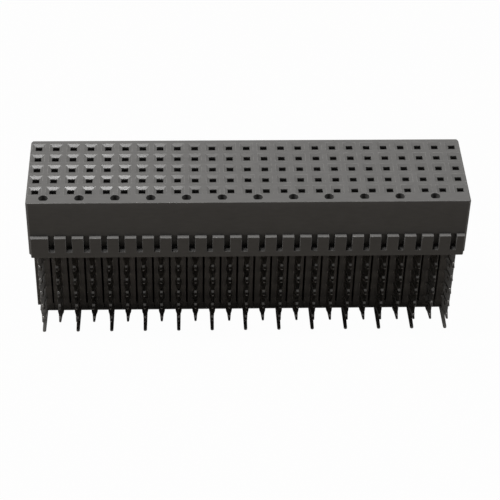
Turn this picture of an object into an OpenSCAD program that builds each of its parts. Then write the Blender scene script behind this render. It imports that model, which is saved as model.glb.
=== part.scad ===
// Right-angle press-fit backplane connector on a hard-metric grid.
// +Z is the mating side, -Y the board side and X runs along the columns.
// The origin is at the bottom centre of the connector, under the shield's plate.

/* [Contact grid] */
// Number of columns along X
columns = 25; // [4:1:28]
// Number of rows across Y
rows = 5; // [3:1:6]
// Distance between neighbouring columns and between neighbouring rows
pitch = 2; // [1.9:0.05:2.4]

/* [Housing] */
// Height of the housing
housing_h = 7.54; // [7.2:0.02:10]
// From the centre of an outer column to the housing's end
end_margin = 0.95; // [0.92:0.01:1.4]
// From the front row to the front wall
front_margin = 2.3; // [2.2:0.05:3.5]
// From the back row to the back wall
back_margin = 1.3; // [1.1:0.05:2]
// Chamfer on the housing's upright corners
corner_chamfer = 0.25; // [0.1:0.05:0.6]
// How far the top of the front wall leans in
lead_in = 0.05; // [0.03:0.01:0.25]
// Height of that leaning band
lead_in_h = 0.75; // [0.4:0.05:1.5]
// Chamfer along the top of the housing's ends
end_chamfer = 0.12; // [0.05:0.01:0.18]

/* [Mating face] */
// Width of a contact opening along X
mouth_x = 0.75; // [0.65:0.01:0.85]
// Width of a contact opening along Y
mouth_y = 0.66; // [0.6:0.01:0.8]
// Width of its funnel along X, at the face
funnel_x = 1.5; // [1:0.01:1.7]
// Width of its funnel along Y, at the face
funnel_y = 1.5; // [1:0.01:1.7]
// Depth of the funnel
funnel_depth = 0.2; // [0.15:0.01:0.35]
// Thickness of the mating face over the contact chambers
face_t = 0.45; // [0.4:0.05:1.2]
// Width of the flat-fronted holes along the front edge
strip_hole_d = 1.06; // [0.8:0.02:1.1]
// From the front row to the centres of those holes
strip_hole_y = 1.31; // [1.3:0.01:1.45]
// From those centres to the holes' flat front
strip_hole_flat = 0.42; // [0.3:0.02:0.5]
// Depth of those holes
strip_hole_depth = 2.5; // [1:0.1:3]

/* [Lip] */
// How far the lip stands out of the front wall
lip_out = 0.47; // [0.2:0.01:0.8]
// Height of the lip
lip_h = 2.82; // [2:0.02:4]
// Chamfer at its ends
lip_chamfer = 0.1; // [0.05:0.01:0.18]
// Length of the lip before its first slot
lip_start = 2.05; // [1.5:0.05:2.5]
// Length of the lip after its last slot
lip_end = 0.95; // [0.7:0.05:2]
// Width of a slot in the lip
slot_w = 0.68; // [0.4:0.02:0.9]
// Height of a slot's floor over the lip's lower edge
slot_floor = 0.78; // [0.3:0.02:1.2]
// How far a slot runs into the front wall
slot_in = 0.5; // [0.1:0.05:0.8]

/* [Wafers] */
// Gap between neighbouring wafers
wafer_gap = 0.2; // [0.15:0.01:0.5]
// From the front row to the wafers' front face
wafer_setback = 2; // [1.6:0.05:2.4]
// Thickness of a wafer's head, which plugs into the housing
head_t = 1.1; // [0.9:0.02:1.2]
// Height of that head
head_h = 2.3; // [1.5:0.1:3]
// Clearance around the head in its slot
head_clear = 0.05; // [0.02:0.01:0.08]
// From the centres of the outer rows to the head's ends
head_end = 0.6; // [0.5:0.02:0.7]
// Gap between the spacer on a wafer's foot and the next wafer's foot
foot_gap = 0.04; // [0.02:0.01:0.1]
// From an outer wafer's free side to its foot
foot_inset = 0.35; // [0.1:0.05:0.5]
// Diameter of the dimples over the leads
dimple_d = 0.7; // [0.4:0.05:0.9]
// Depth of those dimples
dimple_depth = 0.25; // [0.1:0.05:0.35]

/* [Contacts] */
// Thickness of the contacts' sheet
contact_t = 0.3; // [0.2:0.01:0.35]
// Width of a lead
lead_w = 0.6; // [0.5:0.02:0.7]
// Drop of the slanted part of a lead for each millimetre that it runs back
lead_slope = 0.6; // [0.5:0.05:0.7]
// Thickness of a spring beam
beam_t = 0.2; // [0.15:0.01:0.22]
// Width of a spring beam
beam_w = 0.6; // [0.4:0.02:0.7]
// Gap between the two beams where they grip
beam_gap = 0.4; // [0.3:0.02:0.46]
// How far each beam leans in to its grip
beam_lean = 0.1; // [0.05:0.01:0.12]
// Clearance between the backs of the beams and the chamber that they sit in
chamber_clear = 0.08; // [0.04:0.01:0.1]
// Room beside the beams in that chamber
chamber_room = 0.25; // [0.1:0.01:0.3]
// From the top of the chamber to the beams' tips
beam_recess = 0.6; // [0.2:0.05:1]
// Length of the grip, from the beams' tips
beam_mouth = 0.7; // [0.5:0.05:1]
// Length of the beams' straight foot
beam_foot = 0.9; // [0.5:0.05:1.2]
// Height over the housing's underside where a lead turns back
lead_turn = 0.46; // [0.3:0.02:0.8]

/* [Tails] */
// From the housing's underside to the first row of tails
tail_drop = 2.66; // [2.5:0.02:3.5]
// From the last row of tails to the wafers' lower edge
tail_margin = 0.9; // [0.6:0.05:1.2]
// Length of a tail
tail_len = 3.95; // [3.4:0.05:4.5]
// Width of a tail at its root
tail_root_w = 0.46; // [0.4:0.01:0.5]
// Width at the middle of the eye of the taper that ends in the tip
tail_neck_w = 0.6; // [0.5:0.01:0.65]
// Width of a tail at its rounded tip
tail_tip_w = 0.26; // [0.2:0.01:0.35]
// Width across the springy eye
eye_w = 0.76; // [0.7:0.01:0.85]
// Length of the springy eye
eye_len = 2.6; // [2:0.05:2.7]
// From the root of a tail to the centre of its eye
eye_at = 1.75; // [1.5:0.05:1.9]
// Width of the slot through the eye
needle_w = 0.2; // [0.12:0.01:0.24]
// Length of that slot
needle_len = 1; // [0.6:0.05:1.2]
// From the root of a tail to the centre of that slot
needle_at = 1.5; // [1.4:0.05:1.8]
// Length of the tip that is pressed thin
point_len = 0.5; // [0.4:0.05:0.7]
// Thickness of that tip
point_t = 0.1; // [0.08:0.01:0.15]
// Length of the slope that leads to it
point_slope = 0.2; // [0.15:0.01:0.3]

/* [Shield] */
// Thickness of the shield's sheet
shield_t = 0.2; // [0.15:0.01:0.3]
// Inner radius of its bend
bend_r = 0.2; // [0.1:0.05:0.4]
// How far the shield reaches up the back of the housing
shield_up = 4.6; // [3.6:0.1:5.2]
// How far its plate lies behind the wafers' front face
plate_setback = 0.3; // [0.1:0.05:0.6]
// Clearance between the shield and what it lies against
shield_clear = 0.02; // [0.01:0.01:0.05]
// Width of the windows that clip over the housing's catches
window_w = 1.4; // [1:0.1:1.8]
// Height of those windows
window_h = 1.6; // [1.2:0.1:2]
// Play of a catch in its window
window_clear = 0.06; // [0.03:0.01:0.12]
// Height of the flat of a catch, over its ramp
catch_h = 0.5; // [0.3:0.05:0.7]
// Length of the shield's tails
shield_tail_len = 3.8; // [3.2:0.05:4.2]
// Width of the shield's tails at the root
shield_tail_w = 0.52; // [0.45:0.01:0.6]
// Width of the shield's tails at their rounded tips
shield_tip_w = 0.4; // [0.3:0.01:0.44]

/* [Hidden] */
$fn = 64;
eps = 0.01;
// How far a cut runs past the surface that it opens
past = 1;
function two_digits(n) = n < 10 ? str("0", n) : str(n);
function wafer_name(c) = str("wafer_", two_digits(c));
function contacts_name(c) = str("contacts_", two_digits(c));
wafer_names = [for (c = [1:columns]) wafer_name(c)];
contacts_names = [for (c = [1:columns]) contacts_name(c)];

// Places along X
housing_l = (columns - 1) * pitch + 2 * end_margin;
wafer_t = pitch - wafer_gap;
function column_x(c) = (c - (columns + 1) / 2) * pitch;
slots = columns - 1;
lip_l = housing_l - 2 * corner_chamfer;
first_slot_x = -lip_l / 2 + lip_start + slot_w / 2;
last_slot_x = lip_l / 2 - lip_end - slot_w / 2;
slots_x = [for (s = [0:slots - 1]) first_slot_x + s * (last_slot_x - first_slot_x) / (slots - 1)];
strip_holes_x = [for (c = [1:2:columns - 1]) column_x(c) + pitch / 2];
shield_tails_x = [for (c = [1:2:columns]) column_x(c)];
catches_x = [for (c = [2:2:columns - 1]) column_x(c)];

// Places along Y, with row 0 at the front
middle_row_y = (lip_out + front_margin - back_margin) / 2;
function row_y(r) = middle_row_y + (r - (rows - 1) / 2) * pitch;
front_row_y = row_y(0);
back_row_y = row_y(rows - 1);
wall_front_y = front_row_y - front_margin;
wall_back_y = back_row_y + back_margin;
lip_y = wall_front_y - lip_out;
shield_front_y = wall_back_y - shield_t;
seat_y = shield_front_y - shield_clear;
wafer_front_y = front_row_y + wafer_setback;
head_front_y = front_row_y - head_end;
head_back_y = back_row_y + head_end;
plate_front_y = wafer_front_y + plate_setback;

// Heights, with the shield's lower face at zero
function tail_z(r) = shield_t / 2 + (rows - r) * pitch;
wafer_z = tail_z(rows - 1) - tail_margin;
underside_z = tail_z(0) + tail_drop;
head_z = underside_z + head_h;
face_z = underside_z + housing_h;
mouth_z = face_z - funnel_depth;
chamber_z = face_z - face_t;
lip_z = underside_z + lip_h;

// Spring beams: each runs up, leans in to its grip and flares out again
beam_grip = (beam_gap + beam_t) / 2;
beam_rest = beam_grip + beam_lean;
chamber_x = 2 * (beam_rest + beam_t / 2 + chamber_clear);
chamber_y = beam_w + 2 * chamber_room;
beam_tip_z = chamber_z - beam_recess;
grip_z = beam_tip_z - beam_mouth;
beam_bend_z = head_z + beam_foot;

// Leads: each drops, slants back to a run of its own, drops again and turns to the board
slant_z = underside_z + lead_turn;
run_first_y = wafer_front_y + 2 * contact_t;
run_last_y = back_row_y + contact_t / 2;
function run_y(r) = run_first_y + r * (run_last_y - run_first_y) / (rows - 1);
function slant_end_z(r) = slant_z - lead_slope * (run_y(r) - row_y(r));
tail_overlap = contact_t / 2;

// A strip of sheet along a path of points, with mitred corners
function unit(v) = v / norm(v);
function left_of(v) = [-v.y, v.x];
function heading(path, i) = unit(path[i + 1] - path[i]);
function mitre(path, i, half) =
    let (last = len(path) - 1)
    let (before = heading(path, max(i - 1, 0)))
    let (after = heading(path, min(i, last - 1)))
    let (across = unit(left_of(before) + left_of(after)))
    path[i] + across * half / (across * left_of(before));
function strip_outline(path, thick) =
    let (last = len(path) - 1)
    concat(
        [for (i = [0:last]) mitre(path, i, thick / 2)],
        [for (i = [last:-1:0]) mitre(path, i, -thick / 2)]
    );

// Stands a YZ drawing up and gives it a width along X
module across_x(width) {
    rotate([90, 0, 90])
        linear_extrude(width, center = true)
            children();
}

// Stands an XZ drawing up and gives it a width along Y
module across_y(width) {
    rotate([90, 0, 0])
        linear_extrude(width, center = true)
            children();
}

// A block given by its lowest and highest corners
module block(low, high) {
    translate(low)
        cube(high - low);
}

// A lens between two arcs, long along Y
module lens(width, length) {
    radius = (width * width + length * length) / (4 * width);
    offset_x = radius - width / 2;
    intersection() {
        translate([offset_x, 0])
            circle(radius);
        translate([-offset_x, 0])
            circle(radius);
    }
}

// A tapering tail with a rounded tip, seen from the mating side and pointing along -Y
module tapered_tail(start, start_w, length, tip_w) {
    tip_centre = tip_w / 2 - length;
    polygon([
        [-start_w / 2, start], [-tip_w / 2, tip_centre],
        [tip_w / 2, tip_centre], [start_w / 2, start]
    ]);
    translate([0, tip_centre])
        circle(d = tip_w);
}

// A contact's tail from its root at the origin: a springy eye on a taper, whose tip is pressed thin from above
module contact_tail() {
    half = contact_t / 2;
    point_y = point_len - tail_len;
    intersection() {
        translate([0, 0, -half])
            linear_extrude(contact_t)
                difference() {
                    union() {
                        translate([-tail_root_w / 2, -eye_at])
                            square([tail_root_w, eye_at + tail_overlap]);
                        translate([0, -eye_at])
                            lens(eye_w, eye_len);
                        tapered_tail(-eye_at, tail_neck_w, tail_len, tail_tip_w);
                    }
                    translate([0, -needle_at])
                        lens(needle_w, needle_len);
                }
        across_x(2 * eye_w)
            polygon([
                [past, -half], [past, half], [point_y + point_slope, half], [point_y, point_t - half],
                [-tail_len, point_t - half], [-tail_len, -half]
            ]);
    }
}

// The housing's body: a plan with chamfered corners, under a front wall and ends that lean in at the top
module housing_body() {
    x = housing_l / 2;
    c = corner_chamfer;
    intersection() {
        translate([0, 0, underside_z])
            linear_extrude(housing_h)
                polygon([
                    [-x + c, wall_front_y], [x - c, wall_front_y], [x, wall_front_y + c], [x, wall_back_y - c],
                    [x - c, wall_back_y], [-x + c, wall_back_y], [-x, wall_back_y - c], [-x, wall_front_y + c]
                ]);
        across_x(housing_l + past)
            polygon([
                [wall_front_y, underside_z], [wall_back_y, underside_z], [wall_back_y, face_z],
                [wall_front_y + lead_in, face_z], [wall_front_y, face_z - lead_in_h]
            ]);
        across_y(2 * (wall_back_y - wall_front_y))
            polygon([
                [-x, underside_z], [x, underside_z], [x, face_z - end_chamfer], [x - end_chamfer, face_z],
                [end_chamfer - x, face_z], [-x, face_z - end_chamfer]
            ]);
    }
}

// The slotted lip along the front wall
module lip() {
    x = lip_l / 2;
    c = lip_chamfer;
    root_y = wall_front_y + corner_chamfer;
    difference() {
        translate([0, 0, underside_z])
            linear_extrude(lip_h)
                polygon([
                    [-x, root_y], [-x, lip_y + c], [-x + c, lip_y],
                    [x - c, lip_y], [x, lip_y + c], [x, root_y]
                ]);
        for (x = slots_x)
            block(
                [x - slot_w / 2, lip_y - past, underside_z + slot_floor],
                [x + slot_w / 2, wall_front_y, lip_z + past]
            );
    }
}

// The part of the lip's slots that runs into the front wall
module slot_pockets() {
    for (x = slots_x)
        block(
            [x - slot_w / 2, wall_front_y - eps, underside_z + slot_floor],
            [x + slot_w / 2, wall_front_y + slot_in, lip_z]
        );
}

// The funnels: prisms along Y crossed by prisms along X
module funnels() {
    intersection() {
        for (c = [1:columns])
            translate([column_x(c), middle_row_y, 0])
                across_y(rows * pitch)
                    funnel_section(mouth_x, funnel_x);
        for (r = [0:rows - 1])
            translate([0, row_y(r), 0])
                across_x(columns * pitch)
                    funnel_section(mouth_y, funnel_y);
    }
}

// A funnel's section, carried on a little past the face
module funnel_section(mouth, top) {
    over = funnel_depth / 2;
    grow = (top - mouth) / 2 * over / funnel_depth;
    polygon([
        [-mouth / 2, mouth_z], [mouth / 2, mouth_z],
        [top / 2 + grow, face_z + over], [-top / 2 - grow, face_z + over]
    ]);
}

// Room for the contacts: an opening through the face and a chamber below it
module contact_rooms() {
    for (c = [1:columns])
        for (r = [0:rows - 1])
            translate([column_x(c), row_y(r), 0]) {
                block(
                    [-mouth_x / 2, -mouth_y / 2, chamber_z - eps],
                    [mouth_x / 2, mouth_y / 2, mouth_z + eps]
                );
                block(
                    [-chamber_x / 2, -chamber_y / 2, head_z - eps],
                    [chamber_x / 2, chamber_y / 2, chamber_z]
                );
            }
}

// Slots in the underside for the wafers' heads
module head_slots() {
    half = head_t / 2 + head_clear;
    for (c = [1:columns])
        block(
            [column_x(c) - half, head_front_y - head_clear, underside_z - past],
            [column_x(c) + half, head_back_y + head_clear, head_z + head_clear]
        );
}

// The flat-fronted holes along the front edge
module strip_holes() {
    for (x = strip_holes_x)
        translate([x, front_row_y - strip_hole_y, face_z - strip_hole_depth])
            linear_extrude(strip_hole_depth + past)
                intersection() {
                    circle(d = strip_hole_d);
                    translate([-strip_hole_d, -strip_hole_flat])
                        square(2 * strip_hole_d);
                }
}

// The ramps that hold the shield, one for each window
module catches() {
    low = underside_z + shield_up / 2 - window_h / 2 + window_clear;
    high = underside_z + shield_up / 2 + window_h / 2 - window_clear;
    for (x = catches_x)
        translate([x, 0, 0])
            across_x(window_w - 2 * window_clear)
                polygon([
                    [seat_y - eps, low], [wall_back_y, high - catch_h],
                    [wall_back_y, high], [seat_y - eps, high]
                ]);
}

module housing() {
    color("#5d5b59") {
        difference() {
            union() {
                housing_body();
                lip();
            }
            funnels();
            contact_rooms();
            head_slots();
            slot_pockets();
            strip_holes();
            block(
                [-housing_l, seat_y, underside_z - past],
                [housing_l, wall_back_y + past, underside_z + shield_up + shield_clear]
            );
        }
        catches();
    }
}

// The lead of one row, from the head's top to the wafer's front face or further
module lead(r, further = 0) {
    across_x(lead_w)
        polygon(strip_outline([
            [row_y(r), head_z + contact_t / 2],
            [row_y(r), slant_z],
            [run_y(r), slant_end_z(r)],
            [run_y(r), tail_z(r)],
            [wafer_front_y - further, tail_z(r)]
        ], contact_t));
}

// One wafer: a head that plugs into the housing, a body that hides the leads, and a foot on the shield that
// reaches to the next wafer's foot
module wafer(c) {
    slope_drop = lead_slope * (wafer_front_y - head_front_y);
    foot_from_x = c > 1 ? -wafer_t / 2 : foot_inset - wafer_t / 2;
    foot_to_x = c < columns ? pitch - wafer_t / 2 - foot_gap : wafer_t / 2 - foot_inset;
    color("#1d1d1e")
        translate([column_x(c), 0, 0])
            difference() {
                union() {
                    block([-head_t / 2, head_front_y, underside_z - eps], [head_t / 2, head_back_y, head_z]);
                    across_x(wafer_t)
                        polygon([
                            [head_front_y, underside_z], [wafer_front_y, underside_z - slope_drop],
                            [wafer_front_y, wafer_z], [seat_y, wafer_z], [seat_y, underside_z]
                        ]);
                    block(
                        [foot_from_x, plate_front_y, shield_t + shield_clear],
                        [foot_to_x, seat_y - bend_r, wafer_z + eps]
                    );
                }
                for (r = [0:rows - 1])
                    lead(r, past);
                dimples();
            }
}

// The dimples on a wafer's sides, two over each lead but the front one
module dimples() {
    for (side = [-1, 1])
        for (r = [1:rows - 1])
            for (z = [tail_z(r) + pitch / 2, underside_z - pitch])
                translate([side * wafer_t / 2, run_y(r), z])
                    rotate([0, 90, 0])
                        cylinder(d = dimple_d, h = 2 * dimple_depth, center = true);
}

// One contact: a pair of spring beams on a web, the lead and the press-fit tail
module contact(r) {
    translate([0, row_y(r), 0])
        across_y(beam_w)
            union() {
                translate([-beam_rest - beam_t / 2, head_z])
                    square([2 * beam_rest + beam_t, contact_t]);
                for (side = [-1, 1])
                    polygon(strip_outline([
                        [side * beam_rest, head_z],
                        [side * beam_rest, beam_bend_z],
                        [side * beam_grip, grip_z],
                        [side * beam_rest, beam_tip_z]
                    ], beam_t));
            }
    lead(r);
    translate([0, wafer_front_y, tail_z(r)])
        contact_tail();
}

// The contacts of one column
module contacts(c) {
    color("#8c8a86")
        translate([column_x(c), 0, 0])
            for (r = [0:rows - 1])
                contact(r);
}

// The shield: a bent sheet behind and below the wafers, with tails on its front edge
module rear_shield() {
    bend_out = bend_r + shield_t;
    half_l = housing_l / 2 - corner_chamfer;
    window_z = underside_z + shield_up / 2;
    color("#8a8781") {
        difference() {
            across_x(2 * half_l) {
                translate([plate_front_y, 0])
                    square([wall_back_y - bend_out - plate_front_y, shield_t]);
                translate([shield_front_y, bend_out])
                    square([shield_t, underside_z + shield_up - bend_out]);
                translate([wall_back_y - bend_out, bend_out])
                    intersection() {
                        difference() {
                            circle(bend_out);
                            circle(bend_r);
                        }
                        translate([0, -bend_out])
                            square(bend_out);
                    }
            }
            for (x = catches_x)
                block(
                    [x - window_w / 2, shield_front_y - past, window_z - window_h / 2],
                    [x + window_w / 2, wall_back_y + past, window_z + window_h / 2]
                );
        }
        for (x = shield_tails_x)
            translate([x, plate_front_y, 0])
                linear_extrude(shield_t)
                    tapered_tail(shield_t, shield_tail_w, shield_tail_len, shield_tip_w);
    }
}

housing();
for (c = [1:columns])
    wafer(c);
for (c = [1:columns])
    contacts(c);
rear_shield();
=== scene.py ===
"""Finishes a packed right-angle backplane connector and sets up its studio stage."""

import math

import bmesh
import bpy
from bpy.props import FloatProperty, FloatVectorProperty, IntProperty, PointerProperty
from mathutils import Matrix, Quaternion, Vector


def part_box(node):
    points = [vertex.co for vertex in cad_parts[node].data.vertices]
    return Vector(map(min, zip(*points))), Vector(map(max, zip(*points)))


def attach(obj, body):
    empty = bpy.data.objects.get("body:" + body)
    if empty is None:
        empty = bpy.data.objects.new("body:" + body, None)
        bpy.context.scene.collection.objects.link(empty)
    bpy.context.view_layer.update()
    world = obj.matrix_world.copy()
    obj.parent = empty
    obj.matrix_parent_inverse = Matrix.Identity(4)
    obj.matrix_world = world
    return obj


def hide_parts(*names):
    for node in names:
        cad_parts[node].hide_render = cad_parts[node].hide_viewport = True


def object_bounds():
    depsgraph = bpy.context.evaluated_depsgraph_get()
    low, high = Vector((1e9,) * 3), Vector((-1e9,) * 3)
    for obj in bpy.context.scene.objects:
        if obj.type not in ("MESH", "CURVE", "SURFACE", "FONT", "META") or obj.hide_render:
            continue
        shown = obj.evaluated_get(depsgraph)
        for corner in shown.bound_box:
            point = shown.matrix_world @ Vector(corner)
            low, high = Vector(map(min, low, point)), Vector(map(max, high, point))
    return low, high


bl_info = {
    "name": "Backplane Connector",
    "version": (1, 0, 0),
    "blender": (4, 5, 0),
    "location": "View3D > Sidebar > Connector",
    "description": "Builds the finished surfaces of a right-angle backplane connector and its studio stage",
    "category": "Object",
}

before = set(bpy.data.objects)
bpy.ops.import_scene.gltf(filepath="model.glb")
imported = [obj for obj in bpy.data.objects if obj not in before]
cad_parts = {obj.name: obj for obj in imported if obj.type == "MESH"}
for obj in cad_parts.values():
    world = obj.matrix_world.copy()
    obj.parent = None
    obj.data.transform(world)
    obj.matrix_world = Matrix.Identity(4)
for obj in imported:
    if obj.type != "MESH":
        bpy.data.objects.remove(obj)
CAD_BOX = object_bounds()

MM = 0.001
BODY = "root"
EDGE_ATTRIBUTE = "rounded_edge"
TONE_ATTRIBUTE = "column_tone"

# How CAD meshes are made whole and which of their edges count as corners
WELD_DISTANCE = 0.0002 * MM
FLAT_ANGLE = math.radians(0.5)
CORNER_ANGLE = math.radians(25)
SHALLOW_CORNER_ANGLE = math.radians(5)
WALL_ANGLE = math.radians(22)
ROUNDING_ANGLE = math.radians(60)

WAFERS = sorted(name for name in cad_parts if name.startswith("wafer_"))
CONTACTS = sorted(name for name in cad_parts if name.startswith("contacts_"))
COLUMN_PITCH = (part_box(WAFERS[-1])[0].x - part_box(WAFERS[0])[0].x) / (len(WAFERS) - 1)
HOUSING_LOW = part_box("housing")[0]

# Steps in a rounding of a moulding and of a punched sheet
MOULDED_STEPS = 2
PUNCHED_STEPS = 1

# Patterns in the surfaces: their sizes, and the part of a noise's range that each uses
CLOUD_SIZE = 2.2 * MM
STREAK_WIDTH = 0.35 * MM
SKIN_RANGE = (0.3, 0.7)
# Lighter broken lengths along rounded edges: partly rubbing wear, partly a painted edge highlight
WORN_AND_HIGHLIT_LENGTH = 0.8 * MM
WORN_AND_HIGHLIT_RANGE = (0.42, 0.62)
ROLLING_LINE_WIDTH = 0.06 * MM
ROLLING_RANGE = (0.35, 0.65)
TARNISH_SIZE = 1.1 * MM
TARNISH_RANGE = (0.45, 0.7)

# Finishes: darkest and lightest tone as factors of the colour, cover of what lies on it as shares,
# least and greatest roughness, and strength and height of the relief
HOUSING_CLOUDS = (0.94, 1.06)
HOUSING_FIBRES = (0.9, 1.08)
HOUSING_FIBRE_SHARE = 0.45
# Cover of the lighter grey on rounded edges: partly rubbing wear, partly a painted edge highlight
HOUSING_WORN_AND_HIGHLIT_COVER = 0.6
HOUSING_ROUGHNESS = (0.17, 0.23)
HOUSING_RELIEF = (0.1, 0.006 * MM)
HOUSING_IOR = 1.5
HOUSING_SPECULAR = 0.14
WAFER_TONES = (0.75, 1.3)
WAFER_STREAK_TONE = 2.0
WAFER_STREAK_COVER = 0.5
# Cover of the lighter grey on rounded edges: partly rubbing wear, partly a painted edge highlight
WAFER_WORN_AND_HIGHLIT_COVER = 0.5
WAFER_ROUGHNESS = (0.42, 0.56)
WAFER_RELIEF = (0.3, 0.008 * MM)
WAFER_IOR = 1.48
PLATE_LINES = (0.86, 1.1)
PLATE_TARNISH_COVER = 0.45
# Lighter tone and cover on rounded edges: partly rubbing wear, partly a painted edge highlight
PLATE_WORN_AND_HIGHLIT_TONE = 1.35
PLATE_WORN_AND_HIGHLIT_COVER = 0.5
PLATE_ROUGHNESS = (0.38, 0.52)
PLATE_RELIEF = (0.2, 0.002 * MM)

# How a pattern is squeezed along each axis: it grows long along the axis with the small value
FLOW_ALONG_HOUSING = (0.25, 1.0, 1.0)
FLOW_DOWN_WAFER = (1.0, 1.0, 0.15)
ROLLED_ALONG_TAIL = (1.0, 0.1, 1.0)
ROLLED_ALONG_SHIELD = (0.1, 1.0, 1.0)

# How white the floor looks to the camera, and what share of a white floor and room shiny surfaces show
FLOOR_WHITENESS = 0.98
FLOOR_IN_MIRRORS = 0.05
ROOM_IN_MIRRORS = 0.15

# The stage in metres, and the camera's sensor in millimetres. The lamps hang in a line at one Y and Z
FLOOR_HALF_SIDE = 1.5
FLOOR_DROP = 0.02 * MM
LAMP_LINE = (-6 * MM, 350 * MM)
NEAREST_VIEW = 10 * MM
FARTHEST_VIEW = 10.0
SENSOR_WIDTH = 36.0


def colour_property(name, description, default):
    """A colour that a user would change."""
    return FloatVectorProperty(
        name=name, description=description, default=default, size=3, min=0.0, max=1.0, subtype="COLOR"
    )


def length_property(name, description, default):
    """A length that a user would change, in metres."""
    return FloatProperty(
        name=name, description=description, default=default, min=0.0, precision=6,
        subtype="DISTANCE", unit="LENGTH",
    )


def place_property(name, description, default):
    """A place in the connector's frame, in metres."""
    return FloatVectorProperty(
        name=name, description=description, default=default, size=3, precision=5,
        subtype="TRANSLATION", unit="LENGTH",
    )


def power_property(name, default):
    """The power of a lamp that a user would change, in watts."""
    return FloatProperty(
        name=name, description="Power of the lamp", default=default, min=0.0, subtype="POWER", unit="POWER"
    )


class HousingSettings(bpy.types.PropertyGroup):
    """The grey moulded mating half."""

    edge_radius: length_property("Edge radius", "Rounding of the moulding's outer edges", 0.035 * MM)
    colour: colour_property("Colour", "Grey of the moulding compound", (0.172, 0.168, 0.163))
    # Lighter grey on rounded edges: partly rubbing wear, partly a painted edge highlight
    worn_and_highlit_colour: colour_property("Rubbed colour", "Grey of the rubbed edges", (0.27, 0.265, 0.255))
    grain: length_property("Grain", "Size of the grain that the mould left", 0.09 * MM)


class WaferSettings(bpy.types.PropertyGroup):
    """The black wafers under the housing."""

    edge_radius: length_property("Edge radius", "Rounding of a wafer's outer edges", 0.05 * MM)
    colour: colour_property("Colour", "Black of the wafers", (0.095, 0.0895, 0.083))
    # Lighter grey on rounded edges: partly rubbing wear, partly a painted edge highlight
    worn_and_highlit_colour: colour_property("Rubbed colour", "Grey of the rubbed edges", (0.13, 0.125, 0.118))
    grain: length_property("Grain", "Size of the grain that the mould left", 0.12 * MM)
    tone_seed: IntProperty(name="Tone seed", description="Seed of the wafers' tones", default=7)


class ContactSettings(bpy.types.PropertyGroup):
    """The press-fit contacts."""

    edge_radius: length_property("Edge radius", "Rounding that the punch left on the tails", 0.03 * MM)
    colour: colour_property("Colour", "Tin plate on the contacts", (0.34, 0.33, 0.315))
    tarnish_colour: colour_property("Tarnish colour", "Dull patches in the plate", (0.2, 0.19, 0.175))


class ShieldSettings(bpy.types.PropertyGroup):
    """The bent sheet behind and below the wafers."""

    edge_radius: length_property("Edge radius", "Rounding that the punch left on the sheet", 0.025 * MM)
    colour: colour_property("Colour", "Tin plate on the shield", (0.44, 0.43, 0.41))
    tarnish_colour: colour_property("Tarnish colour", "Dull patches in the plate", (0.24, 0.23, 0.21))


class StageSettings(bpy.types.PropertyGroup):
    """Camera, lamps and floor."""

    camera_place: place_property(
        "Camera", "Place of the camera", (-7.781 * MM, HOUSING_LOW.y - 145.326 * MM, 138.197 * MM)
    )
    camera_target: place_property(
        "Target", "Point that the camera looks at", (0.465 * MM, HOUSING_LOW.y + 5.153 * MM, 9.317 * MM)
    )
    camera_roll: FloatProperty(
        name="Roll", description="Turn of the camera about its line of sight", default=math.radians(1.612),
        subtype="ANGLE", unit="ROTATION",
    )
    focal_length: FloatProperty(
        name="Focal length", description="Focal length of the lens, in millimetres", default=121.04, min=1.0
    )
    panel_width: length_property("Panel width", "Side of each lamp along Y", 44 * MM)
    key_place: place_property("Key lamp", "Place beyond the left end", (-170 * MM, *LAMP_LINE))
    key_length: length_property("Key length", "Side of the key lamp along X", 140 * MM)
    key_power: power_property("Key power", 0.8)
    glint_place: place_property("Glint lamp", "Place that the funnels mirror", (-38 * MM, *LAMP_LINE))
    glint_length: length_property("Glint length", "Side of the glint lamp along X", 40 * MM)
    glint_power: power_property("Glint power", 0.33)
    fill_place: place_property("Fill lamp", "Place beyond the right end", (210 * MM, *LAMP_LINE))
    fill_length: length_property("Fill length", "Side of the fill lamp along X", 120 * MM)
    fill_power: power_property("Fill power", 0.46)
    floor_colour: colour_property("Floor", "Colour that the floor throws back", (0.315, 0.29, 0.262))
    surroundings: FloatProperty(
        name="Surroundings", description="Brightness of the light from all sides", default=0.03, min=0.0
    )


class ConnectorSettings(bpy.types.PropertyGroup):
    """All the settings of the connector and its stage."""

    housing: PointerProperty(type=HousingSettings, name="Housing", description="The mating half")
    wafers: PointerProperty(type=WaferSettings, name="Wafers", description="The black wafers")
    contacts: PointerProperty(type=ContactSettings, name="Contacts", description="The press-fit contacts")
    shield: PointerProperty(type=ShieldSettings, name="Shield", description="The rear shield")
    stage: PointerProperty(type=StageSettings, name="Stage", description="Camera, lamps and floor")


# Meshes

def whole_faces(node):
    """A copy of a CAD node as a bmesh, with its loose triangles merged into whole flat faces."""
    bm = bmesh.new()
    bm.from_mesh(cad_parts[node].data)
    bmesh.ops.remove_doubles(bm, verts=bm.verts, dist=WELD_DISTANCE)
    bmesh.ops.dissolve_limit(bm, angle_limit=FLAT_ANGLE, verts=bm.verts, edges=bm.edges)
    return bm


def outer_corners(bm, shows, angle=CORNER_ANGLE):
    """The convex corner edges of a bmesh whose middle shows, by the given test."""
    return [
        edge
        for edge in bm.edges
        if len(edge.link_faces) == 2
        and edge.is_convex
        and edge.calc_face_angle() > angle
        and shows((edge.verts[0].co + edge.verts[1].co) / 2)
    ]


def round_edges(bm, edges, radius, steps):
    """Rounds edges, and marks the faces that this makes for the materials."""
    marks = bm.faces.layers.float.new(EDGE_ATTRIBUTE)
    rounded = bmesh.ops.bevel(
        bm, geom=edges, offset=radius, offset_type="OFFSET", segments=steps, profile=0.5,
        affect="EDGES", clamp_overlap=False, loop_slide=True, material=-1,
    )
    for face in rounded["faces"]:
        face[marks] = 1.0
    for face in bm.faces:
        face.smooth = True
    for edge in bm.edges:
        edge.smooth = runs_on(edge, marks)


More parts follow.
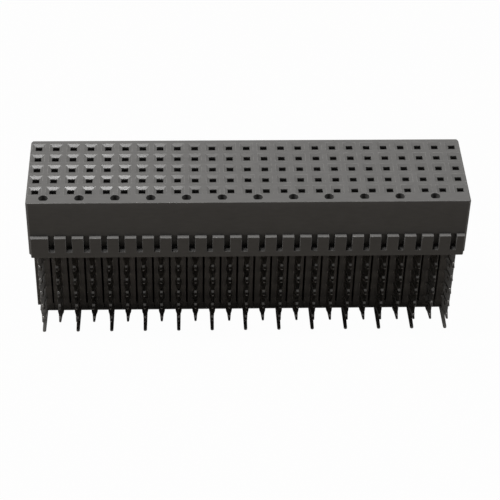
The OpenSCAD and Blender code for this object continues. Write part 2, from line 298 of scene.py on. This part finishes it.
def runs_on(edge, marks):
    """Whether a round wall or a rounding runs on smoothly over an edge."""
    if len(edge.link_faces) != 2:
        return False
    first, second = edge.link_faces
    limit = ROUNDING_ANGLE if first[marks] else WALL_ANGLE
    return first[marks] == second[marks] and edge.calc_face_angle() < limit


def new_piece(name, bm):
    """A linked object that holds the bmesh."""
    mesh = bpy.data.meshes.new(name)
    bm.to_mesh(mesh)
    bm.free()
    piece = bpy.data.objects.new(name, mesh)
    bpy.context.scene.collection.objects.link(piece)
    return piece


def make_plain(piece):
    """Swaps a piece's modifiers for the mesh that they make."""
    depsgraph = bpy.context.evaluated_depsgraph_get()
    mesh = bpy.data.meshes.new_from_object(
        piece.evaluated_get(depsgraph), preserve_all_data_layers=True, depsgraph=depsgraph
    )
    piece.modifiers.clear()
    piece.data = mesh


def hand_over(piece, slot, *nodes):
    """Puts a finished piece on the connector's body, in place of the CAD nodes that it stands for."""
    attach(piece, BODY)
    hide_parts(*nodes)


# Nodes of every tree

def add(tree, kind, inputs=None, **settings):
    """A new node in a tree. An input is a socket to link or a value to set."""
    node = tree.nodes.new(kind)
    for setting, value in settings.items():
        setattr(node, setting, value)
    for socket, value in (inputs or {}).items():
        if isinstance(value, bpy.types.NodeSocket):
            tree.links.new(value, node.inputs[socket])
        else:
            node.inputs[socket].default_value = value
    return node


# Geometry Nodes

def column_row_tree():
    """A tree that repeats one column's mesh along X, with a tone for each column."""
    tree = bpy.data.node_groups.new("column_row", "GeometryNodeTree")
    tree.interface.new_socket("Column", in_out="INPUT", socket_type="NodeSocketGeometry")
    tree.interface.new_socket("Columns", in_out="INPUT", socket_type="NodeSocketInt")
    tree.interface.new_socket("Pitch", in_out="INPUT", socket_type="NodeSocketFloat")
    tree.interface.new_socket("Tone Seed", in_out="INPUT", socket_type="NodeSocketInt")
    tree.interface.new_socket("Finish", in_out="INPUT", socket_type="NodeSocketMaterial")
    tree.interface.new_socket("Row", in_out="OUTPUT", socket_type="NodeSocketGeometry")
    given = tree.nodes.new("NodeGroupInput").outputs
    step = add(tree, "ShaderNodeCombineXYZ", {"X": given["Pitch"]})
    places = add(
        tree, "GeometryNodeMeshLine",
        {"Count": given["Columns"], "Offset": step.outputs["Vector"]},
        mode="OFFSET",
    )
    row = add(
        tree, "GeometryNodeInstanceOnPoints",
        {"Points": places.outputs["Mesh"], "Instance": given["Column"]},
    )
    tone = add(tree, "FunctionNodeRandomValue", {"Seed": given["Tone Seed"]}, data_type="FLOAT")
    with_tone = add(
        tree, "GeometryNodeStoreNamedAttribute",
        {"Geometry": row.outputs["Instances"], "Name": TONE_ATTRIBUTE, "Value": tone.outputs[1]},
        data_type="FLOAT", domain="INSTANCE",
    )
    real = add(tree, "GeometryNodeRealizeInstances", {"Geometry": with_tone.outputs["Geometry"]})
    finished = add(
        tree, "GeometryNodeSetMaterial", {"Geometry": real.outputs["Geometry"], "Material": given["Finish"]}
    )
    add(tree, "NodeGroupOutput", {"Row": finished.outputs["Geometry"]})
    return tree


def repeat_columns(piece, columns, finish, tone_seed=0):
    """Turns a piece that holds the first column into the whole row."""
    tree = bpy.data.node_groups.get("column_row") or column_row_tree()
    modifier = piece.modifiers.new("Columns", "NODES")
    modifier.node_group = tree
    values = {"Columns": columns, "Pitch": COLUMN_PITCH, "Tone Seed": tone_seed, "Finish": finish}
    for socket in tree.interface.items_tree:
        if socket.in_out == "INPUT" and socket.name in values:
            modifier[socket.identifier] = values[socket.name]
    make_plain(piece)


# Shader nodes

def math_node(tree, operation, first, second, clamp=False):
    """The output of a Math node."""
    node = add(tree, "ShaderNodeMath", {0: first, 1: second}, operation=operation, use_clamp=clamp)
    return node.outputs["Value"]


def between(tree, value, low, high, to_low=0.0, to_high=1.0):
    """A value moved from one range to another and kept inside it."""
    node = add(
        tree, "ShaderNodeMapRange",
        {"Value": value, "From Min": low, "From Max": high, "To Min": to_low, "To Max": to_high},
        clamp=True,
    )
    return node.outputs["Result"]


def mix_colours(tree, factor, first, second):
    """The colour output of a Mix node. Its colour sockets are found by their type."""
    node = add(tree, "ShaderNodeMix", {0: factor}, data_type="RGBA")
    ends = [socket for socket in node.inputs if socket.type == "RGBA"]
    for socket, value in zip(ends, (first, second)):
        if isinstance(value, bpy.types.NodeSocket):
            tree.links.new(value, socket)
        else:
            socket.default_value = (*value, 1.0)
    return next(socket for socket in node.outputs if socket.type == "RGBA")


def noise(tree, vector, size, detail=3.0, roughness=0.55):
    """The value of a noise whose features have about the given size in metres."""
    scale = math_node(tree, "DIVIDE", 1.0, size) if isinstance(size, bpy.types.NodeSocket) else 1.0 / size
    node = add(
        tree, "ShaderNodeTexNoise",
        {"Vector": vector, "Scale": scale, "Detail": detail, "Roughness": roughness},
    )
    return node.outputs[0]


def stretched(tree, vector, stretch):
    """Coordinates that are squeezed along each axis, so that a pattern grows long there."""
    node = add(tree, "ShaderNodeVectorMath", {0: vector, 1: stretch}, operation="MULTIPLY")
    return node.outputs["Vector"]


def shader_group(name, inputs, outputs):
    """A shader node group, and the named sockets that it is given and has to fill."""
    group = bpy.data.node_groups.new(name, "ShaderNodeTree")
    for socket, kind in inputs.items():
        group.interface.new_socket(socket, in_out="INPUT", socket_type=kind)
    for socket, kind in outputs.items():
        group.interface.new_socket(socket, in_out="OUTPUT", socket_type=kind)
    return group, group.nodes.new("NodeGroupInput").outputs, group.nodes.new("NodeGroupOutput").inputs


def moulded_skin_group():
    """Cloudy tone, flow lines and mould grain of a filled plastic."""
    group, given, made = shader_group(
        "moulded_skin",
        {"Vector": "NodeSocketVector", "Grain": "NodeSocketFloat", "Flow": "NodeSocketVector"},
        {"Cloud": "NodeSocketFloat", "Streak": "NodeSocketFloat", "Height": "NodeSocketFloat"},
    )
    cloud = noise(group, given["Vector"], CLOUD_SIZE)
    flow = stretched(group, given["Vector"], given["Flow"])
    streak = noise(group, flow, STREAK_WIDTH, detail=2.0)
    grain = noise(group, given["Vector"], given["Grain"], detail=2.0)
    group.links.new(between(group, cloud, *SKIN_RANGE), made["Cloud"])
    group.links.new(between(group, streak, *SKIN_RANGE), made["Streak"])
    group.links.new(grain, made["Height"])
    return group


def worn_and_highlit_edge_group():
    """Where rounded edges are made lighter, in broken lengths: partly rubbing wear, partly a painted edge
    highlight.
    """
    group, given, made = shader_group(
        "worn_and_highlit_edge",
        {"Vector": "NodeSocketVector", "Edge": "NodeSocketFloat"},
        {"Mask": "NodeSocketFloat"},
    )
    patches = between(group, noise(group, given["Vector"], WORN_AND_HIGHLIT_LENGTH), *WORN_AND_HIGHLIT_RANGE)
    group.links.new(math_node(group, "MULTIPLY", patches, given["Edge"]), made["Mask"])
    return group


def plated_sheet_group():
    """Rolling lines and dull patches of a tin-plated sheet."""
    group, given, made = shader_group(
        "plated_sheet",
        {"Vector": "NodeSocketVector", "Rolling": "NodeSocketVector"},
        {"Lines": "NodeSocketFloat", "Tarnish": "NodeSocketFloat"},
    )
    along = stretched(group, given["Vector"], given["Rolling"])
    lines = noise(group, along, ROLLING_LINE_WIDTH, detail=2.0)
    patches = noise(group, given["Vector"], TARNISH_SIZE, detail=4.0)
    group.links.new(between(group, lines, *ROLLING_RANGE), made["Lines"])
    group.links.new(between(group, patches, *TARNISH_RANGE), made["Tarnish"])
    return group


def placed_group(tree, name, build, inputs):
    """The outputs of a shared group in a material. It is built the first time that it is asked for."""
    group = bpy.data.node_groups.get(name) or build()
    return add(tree, "ShaderNodeGroup", inputs, node_tree=group).outputs


def new_material(name):
    """A new material, its tree, its Principled BSDF's inputs and the piece's own coordinates."""
    material = bpy.data.materials.new(name)
    material.use_nodes = True
    tree = material.node_tree
    shader = next(node for node in tree.nodes if node.type == "BSDF_PRINCIPLED")
    place = tree.nodes.new("ShaderNodeTexCoord").outputs["Object"]
    return material, tree, shader.inputs, place


def attribute(tree, name):
    """The value of a mesh attribute."""
    return add(tree, "ShaderNodeAttribute", attribute_name=name).outputs["Fac"]


def worn_and_highlit_mask(tree, place):
    """Where the rounded edges of a piece are made lighter: partly rubbing wear, partly a painted edge
    highlight.
    """
    edge = attribute(tree, EDGE_ATTRIBUTE)
    return placed_group(tree, "worn_and_highlit_edge", worn_and_highlit_edge_group, {"Vector": place, "Edge": edge})["Mask"]


def link_relief(tree, shader, height, strength, distance):
    """Gives a shader its relief."""
    bump = add(tree, "ShaderNodeBump", {"Height": height, "Strength": strength, "Distance": distance})
    tree.links.new(bump.outputs["Normal"], shader["Normal"])


def link_roughness(tree, shader, pattern, least, greatest):
    """Gives a shader a roughness that follows a pattern."""
    tree.links.new(between(tree, pattern, 0.0, 1.0, least, greatest), shader["Roughness"])


def shade(colour, factor):
    """A colour made lighter or darker."""
    return tuple(part * factor for part in colour)


def toned(tree, pattern, colour, darkest, lightest):
    """A colour that goes from a darker to a lighter tone with a pattern."""
    return mix_colours(tree, pattern, shade(colour, darkest), shade(colour, lightest))


def laid_over(tree, mask, cover, below, above):
    """A colour with another one over it where a mask is, up to the given cover."""
    return mix_colours(tree, math_node(tree, "MULTIPLY", mask, cover), below, above)


def grey_moulding(settings):
    """Glass-filled grey plastic with a satin mould skin."""
    material, tree, shader, place = new_material("grey_moulding")
    skin = placed_group(
        tree, "moulded_skin", moulded_skin_group,
        {"Vector": place, "Grain": settings.grain, "Flow": FLOW_ALONG_HOUSING},
    )
    clouds = toned(tree, skin["Cloud"], settings.colour, *HOUSING_CLOUDS)
    fibres = toned(tree, skin["Streak"], settings.colour, *HOUSING_FIBRES)
    plastic = mix_colours(tree, HOUSING_FIBRE_SHARE, clouds, fibres)
    # Rounded edges made lighter: partly rubbing wear, partly a painted edge highlight
    worn_and_highlit = tuple(settings.worn_and_highlit_colour)
    colour = laid_over(tree, worn_and_highlit_mask(tree, place), HOUSING_WORN_AND_HIGHLIT_COVER, plastic, worn_and_highlit)
    tree.links.new(colour, shader["Base Color"])
    link_roughness(tree, shader, skin["Streak"], *HOUSING_ROUGHNESS)
    shader["IOR"].default_value = HOUSING_IOR
    shader["Specular IOR Level"].default_value = HOUSING_SPECULAR
    link_relief(tree, shader, skin["Height"], *HOUSING_RELIEF)
    return material


def black_moulding(settings):
    """Satin black plastic with flow lines down each wafer."""
    material, tree, shader, place = new_material("black_moulding")
    skin = placed_group(
        tree, "moulded_skin", moulded_skin_group,
        {"Vector": place, "Grain": settings.grain, "Flow": FLOW_DOWN_WAFER},
    )
    column = toned(tree, attribute(tree, TONE_ATTRIBUTE), settings.colour, *WAFER_TONES)
    streak = shade(settings.colour, WAFER_STREAK_TONE)
    plastic = laid_over(tree, skin["Streak"], WAFER_STREAK_COVER, column, streak)
    # Rounded edges made lighter: partly rubbing wear, partly a painted edge highlight
    worn_and_highlit = tuple(settings.worn_and_highlit_colour)
    colour = laid_over(tree, worn_and_highlit_mask(tree, place), WAFER_WORN_AND_HIGHLIT_COVER, plastic, worn_and_highlit)
    tree.links.new(colour, shader["Base Color"])
    link_roughness(tree, shader, skin["Cloud"], *WAFER_ROUGHNESS)
    shader["IOR"].default_value = WAFER_IOR
    link_relief(tree, shader, skin["Height"], *WAFER_RELIEF)
    return material


def tin_plate(name, settings, rolling):
    """Dull tin plate on stamped sheet, with rolling lines along the given axis."""
    material, tree, shader, place = new_material(name)
    plate = placed_group(tree, "plated_sheet", plated_sheet_group, {"Vector": place, "Rolling": rolling})
    lined = toned(tree, plate["Lines"], settings.colour, *PLATE_LINES)
    tarnish = tuple(settings.tarnish_colour)
    dulled = laid_over(tree, plate["Tarnish"], PLATE_TARNISH_COVER, lined, tarnish)
    # Rounded edges made lighter: partly rubbing wear, partly a painted edge highlight
    worn_and_highlit = shade(settings.colour, PLATE_WORN_AND_HIGHLIT_TONE)
    colour = laid_over(tree, worn_and_highlit_mask(tree, place), PLATE_WORN_AND_HIGHLIT_COVER, dulled, worn_and_highlit)
    tree.links.new(colour, shader["Base Color"])
    link_roughness(tree, shader, plate["Tarnish"], *PLATE_ROUGHNESS)
    shader["Metallic"].default_value = 1.0
    link_relief(tree, shader, plate["Lines"], *PLATE_RELIEF)
    return material


def seen_directly(tree, reflected):
    """One for camera and transmission rays, and the given share for mirror rays."""
    path = add(tree, "ShaderNodeLightPath").outputs
    straight = math_node(tree, "ADD", path["Is Camera Ray"], path["Is Transmission Ray"])
    mirrored = math_node(tree, "MULTIPLY", path["Is Glossy Ray"], reflected)
    return math_node(tree, "ADD", straight, mirrored, clamp=True)


def studio_floor(settings):
    """A pale floor that looks white and keeps the connector's shadow."""
    material = bpy.data.materials.new("studio_floor")
    material.use_nodes = True
    tree = material.node_tree
    tree.nodes.clear()
    lit = add(tree, "ShaderNodeBsdfDiffuse", {"Color": (*settings.floor_colour, 1.0)})
    white = add(tree, "ShaderNodeEmission", {"Color": (1.0, 1.0, 1.0, 1.0), "Strength": 1.0})
    share = math_node(tree, "MULTIPLY", seen_directly(tree, FLOOR_IN_MIRRORS), FLOOR_WHITENESS)
    mixed = add(
        tree, "ShaderNodeMixShader", {0: share, 1: lit.outputs["BSDF"], 2: white.outputs["Emission"]}
    )
    add(tree, "ShaderNodeOutputMaterial", {"Surface": mixed.outputs["Shader"]})
    return material


# Stage

def add_panel(name, place, length, width, power):
    """A flat soft lamp that hangs over the connector and shines straight down."""
    lamp = bpy.data.lights.new(name, "AREA")
    lamp.shape = "RECTANGLE"
    lamp.size = length
    lamp.size_y = width
    lamp.energy = power
    panel = bpy.data.objects.new(name, lamp)
    panel.location = place
    bpy.context.scene.collection.objects.link(panel)


def add_camera(settings):
    """The camera at the photograph's viewpoint."""
    lens = bpy.data.cameras.new("camera")
    lens.sensor_width = SENSOR_WIDTH
    lens.lens = settings.focal_length
    lens.clip_start = NEAREST_VIEW
    lens.clip_end = FARTHEST_VIEW
    camera = bpy.data.objects.new("camera", lens)
    camera.location = settings.camera_place
    camera.rotation_mode = "QUATERNION"
    sight = Vector(settings.camera_target) - Vector(settings.camera_place)
    roll = Quaternion((0.0, 0.0, 1.0), settings.camera_roll)
    camera.rotation_quaternion = sight.to_track_quat("-Z", "Y") @ roll
    bpy.context.scene.collection.objects.link(camera)
    bpy.context.scene.camera = camera


def add_floor(settings):
    """A wide floor just under the connector."""
    bm = bmesh.new()
    bmesh.ops.create_grid(bm, x_segments=1, y_segments=1, size=FLOOR_HALF_SIDE)
    bmesh.ops.translate(bm, verts=bm.verts, vec=(0.0, 0.0, CAD_BOX[0].z - FLOOR_DROP))
    floor = new_piece("studio_floor", bm)
    floor.data.materials.append(studio_floor(settings))


def add_surroundings(settings):
    """A room that looks white to the camera and lights the connector softly."""
    world = bpy.data.worlds.new("studio")
    bpy.context.scene.world = world
    world.use_nodes = True
    tree = world.node_tree
    tree.nodes.clear()
    strength = between(tree, seen_directly(tree, ROOM_IN_MIRRORS), 0.0, 1.0, settings.surroundings, 1.0)
    room = add(tree, "ShaderNodeBackground", {"Color": (1.0, 1.0, 1.0, 1.0), "Strength": strength})
    add(tree, "ShaderNodeOutputWorld", {"Surface": room.outputs["Background"]})


# Operators

class CONNECTOR_OT_stage(bpy.types.Operator):
    """Sets the camera, the lamps, the floor and the room"""

    bl_idname = "connector.stage"
    bl_label = "Stage"

    def execute(self, context):
        settings = context.scene.connector.stage
        context.scene.view_settings.view_transform = "Standard"
        add_camera(settings)
        width = settings.panel_width
        add_panel("key_lamp", settings.key_place, settings.key_length, width, settings.key_power)
        add_panel("glint_lamp", settings.glint_place, settings.glint_length, width, settings.glint_power)
        add_panel("fill_lamp", settings.fill_place, settings.fill_length, width, settings.fill_power)
        add_floor(settings)
        add_surroundings(settings)
        return {"FINISHED"}


class CONNECTOR_OT_housing(bpy.types.Operator):
    """Makes the moulded housing with rounded edges"""

    bl_idname = "connector.housing"
    bl_label = "Housing"

    def execute(self, context):
        settings = context.scene.connector.housing
        bm = whole_faces("housing")
        corners = outer_corners(bm, lambda middle: True, SHALLOW_CORNER_ANGLE)
        round_edges(bm, corners, settings.edge_radius, MOULDED_STEPS)
        piece = new_piece("housing_moulding", bm)
        piece.data.materials.append(grey_moulding(settings))
        hand_over(piece, "housing_plastic", "housing")
        return {"FINISHED"}


class CONNECTOR_OT_wafers(bpy.types.Operator):
    """Makes the wafers with rounded edges: a row of equal ones between two outer ones, whose feet differ"""

    bl_idname = "connector.wafers"
    bl_label = "Wafers"

    def execute(self, context):
        settings = context.scene.connector.wafers
        below_housing = HOUSING_LOW.z - settings.edge_radius
        finish = black_moulding(settings)
        groups = {"first_wafer": WAFERS[:1], "wafer_row": WAFERS[1:-1], "last_wafer": WAFERS[-1:]}
        for name, nodes in groups.items():
            bm = whole_faces(nodes[0])
            corners = outer_corners(bm, lambda middle: middle.z < below_housing)
            round_edges(bm, corners, settings.edge_radius, MOULDED_STEPS)
            piece = new_piece(name, bm)
            repeat_columns(piece, len(nodes), finish, settings.tone_seed)
            hand_over(piece, "wafer_plastic", *nodes)
        return {"FINISHED"}


class CONNECTOR_OT_contacts(bpy.types.Operator):
    """Makes one column of contacts with punched edges and repeats it for every column"""

    bl_idname = "connector.contacts"
    bl_label = "Contacts"

    def execute(self, context):
        settings = context.scene.connector.contacts
        bm = whole_faces(CONTACTS[0])
        wafer_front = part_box(WAFERS[0])[0].y
        corners = outer_corners(bm, lambda middle: middle.y < wafer_front)
        round_edges(bm, corners, settings.edge_radius, PUNCHED_STEPS)
        piece = new_piece("contact_rows", bm)
        finish = tin_plate("contact_plate", settings, ROLLED_ALONG_TAIL)
        repeat_columns(piece, len(CONTACTS), finish)
        hand_over(piece, "contact_metal", *CONTACTS)
        return {"FINISHED"}


class CONNECTOR_OT_shield(bpy.types.Operator):
    """Makes the bent rear shield with punched edges"""

    bl_idname = "connector.shield"
    bl_label = "Shield"

    def execute(self, context):
        settings = context.scene.connector.shield
        bm = whole_faces("rear_shield")
        corners = outer_corners(bm, lambda middle: True)
        round_edges(bm, corners, settings.edge_radius, PUNCHED_STEPS)
        piece = new_piece("rear_shield_sheet", bm)
        piece.data.materials.append(tin_plate("shield_plate", settings, ROLLED_ALONG_SHIELD))
        hand_over(piece, "shield_metal", "rear_shield")
        return {"FINISHED"}


OPERATORS = (
    CONNECTOR_OT_stage,
    CONNECTOR_OT_housing,
    CONNECTOR_OT_wafers,
    CONNECTOR_OT_contacts,
    CONNECTOR_OT_shield,
)


class CONNECTOR_PT_panel(bpy.types.Panel):
    """Lists the connector's settings and the operators that make its pieces"""

    bl_idname = "CONNECTOR_PT_panel"
    bl_label = "Connector"
    bl_space_type = "VIEW_3D"
    bl_region_type = "UI"
    bl_category = "Connector"

    def draw(self, context):
        for operator in OPERATORS:
            self.layout.operator(operator.bl_idname)
        for name in ConnectorSettings.__annotations__:
            group = getattr(context.scene.connector, name)
            box = self.layout.box()
            box.label(text=name.title())
            for setting in group.__annotations__:
                box.prop(group, setting)


CLASSES = (
    HousingSettings,
    WaferSettings,
    ContactSettings,
    ShieldSettings,
    StageSettings,
    ConnectorSettings,
    *OPERATORS,
    CONNECTOR_PT_panel,
)


def register():
    for cls in CLASSES:
        bpy.utils.register_class(cls)
    bpy.types.Scene.connector = PointerProperty(type=ConnectorSettings)


def unregister():
    del bpy.types.Scene.connector
    for cls in reversed(CLASSES):
        bpy.utils.unregister_class(cls)


def main():
    """Registers the add-on and makes every piece."""
    register()
    bpy.ops.connector.stage()
    bpy.ops.connector.housing()
    bpy.ops.connector.wafers()
    bpy.ops.connector.contacts()
    bpy.ops.connector.shield()


if __name__ == "__main__":
    main()
